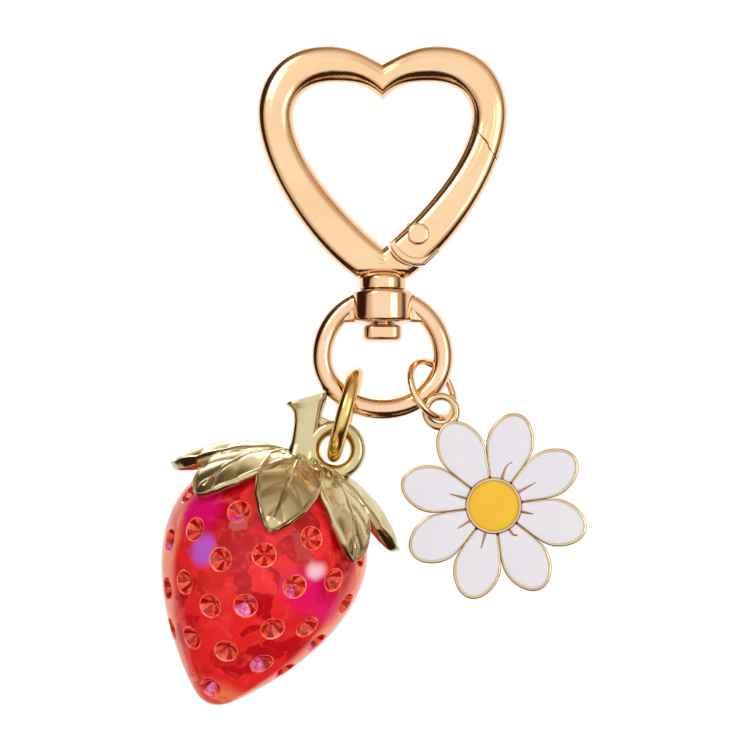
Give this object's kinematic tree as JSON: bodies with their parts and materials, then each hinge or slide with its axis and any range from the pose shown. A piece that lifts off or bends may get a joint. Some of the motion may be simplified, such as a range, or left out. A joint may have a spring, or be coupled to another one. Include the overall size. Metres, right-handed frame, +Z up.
{
  "type": "keychain with heart clasp and charms",
  "caption": "Heart-shaped spring-gate clasp with a swivel ring that carries a clear faceted strawberry charm and an enamelled daisy charm.",
  "frame": {"origin": "the inner notch of the heart, in the middle of its thickness, where the clasp hangs on a bag ring", "axes": "+Z up towards the lobes of the heart, -Y towards the front, +X to the right seen from the front, on the gate's side"},
  "size_m": [0.0544, 0.0284, 0.0854],
  "materials": {
    "rose_gold": "polished light rose gold plating",
    "yellow_gold": "polished yellow gold plating",
    "pale_gold": "polished pale gold plating",
    "spring_steel": "plain spring steel",
    "berry_acrylic": "clear red acrylic with an iridescent coat",
    "white_enamel": "glossy epoxy enamel",
    "yellow_enamel": "glossy epoxy enamel"
  },
  "bodies": {
    "clasp": {"heart_frame": "rose_gold", "swivel_post": "rose_gold", "gate_pin": "rose_gold"},
    "gate": {"gate": "rose_gold", "gate_spring": "spring_steel"},
    "plunger": {"gate_plunger": "spring_steel"},
    "swivel": {"swivel_ring": "rose_gold"},
    "strawberry_link": {"strawberry_jump_ring": "yellow_gold"},
    "strawberry": {"strawberry_cap": "pale_gold", "strawberry_body": "berry_acrylic"},
    "daisy_link": {"daisy_jump_ring": "rose_gold"},
    "daisy": {"daisy_plate": "pale_gold", "petal_enamel_1": "white_enamel", "petal_enamel_2": "white_enamel", "petal_enamel_3": "white_enamel", "petal_enamel_4": "white_enamel", "petal_enamel_5": "white_enamel", "petal_enamel_6": "white_enamel", "petal_enamel_7": "white_enamel", "petal_enamel_8": "white_enamel", "centre_enamel": "yellow_enamel"}
  },
  "joints": [
    {"name": "gate_hinge", "type": "hinge", "parent": "clasp", "child": "gate", "pos_m": [0.00458, 0, -0.0178], "axis": [0, -1, 0], "range_deg": [0, 33], "stiffness_Nm_per_rad": 0.04, "springref_deg": -34.38},
    {"name": "plunger_slide", "type": "slide", "parent": "gate", "child": "plunger", "axis": [0.6687, 0, 0.7435], "range_m": [0, 0.0007], "deforming": ["gate_spring"]},
    {"name": "swivel_turn", "type": "hinge", "parent": "clasp", "child": "swivel", "pos_m": [0, 0, -0.027], "axis": [0, 0, 1], "continuous": true},
    {"name": "strawberry_swing", "type": "hinge", "parent": "swivel", "child": "strawberry_link", "pos_m": [-0.00436, 0, -0.03918], "axis": [0.8677, 0, -0.497], "range_deg": [-30, 30]},
    {"name": "strawberry_sway", "type": "hinge", "parent": "strawberry_link", "child": "strawberry", "pos_m": [-0.00623, 0, -0.04615], "axis": [0, -1, 0], "range_deg": [0, 8]},
    {"name": "daisy_swing", "type": "hinge", "parent": "swivel", "child": "daisy_link", "pos_m": [0.00662, 0, -0.0372], "axis": [0.5985, 0, 0.8011], "range_deg": [-30, 30]},
    {"name": "daisy_sway", "type": "hinge", "parent": "daisy_link", "child": "daisy", "pos_m": [0.00736, -0.0018, -0.04148], "axis": [0, -1, 0], "range_deg": [0, 40]}
  ],
  "couplings": [
    {"joint": "plunger_slide", "follows": "gate_hinge", "m_per_rad": 0.001064}
  ]
}
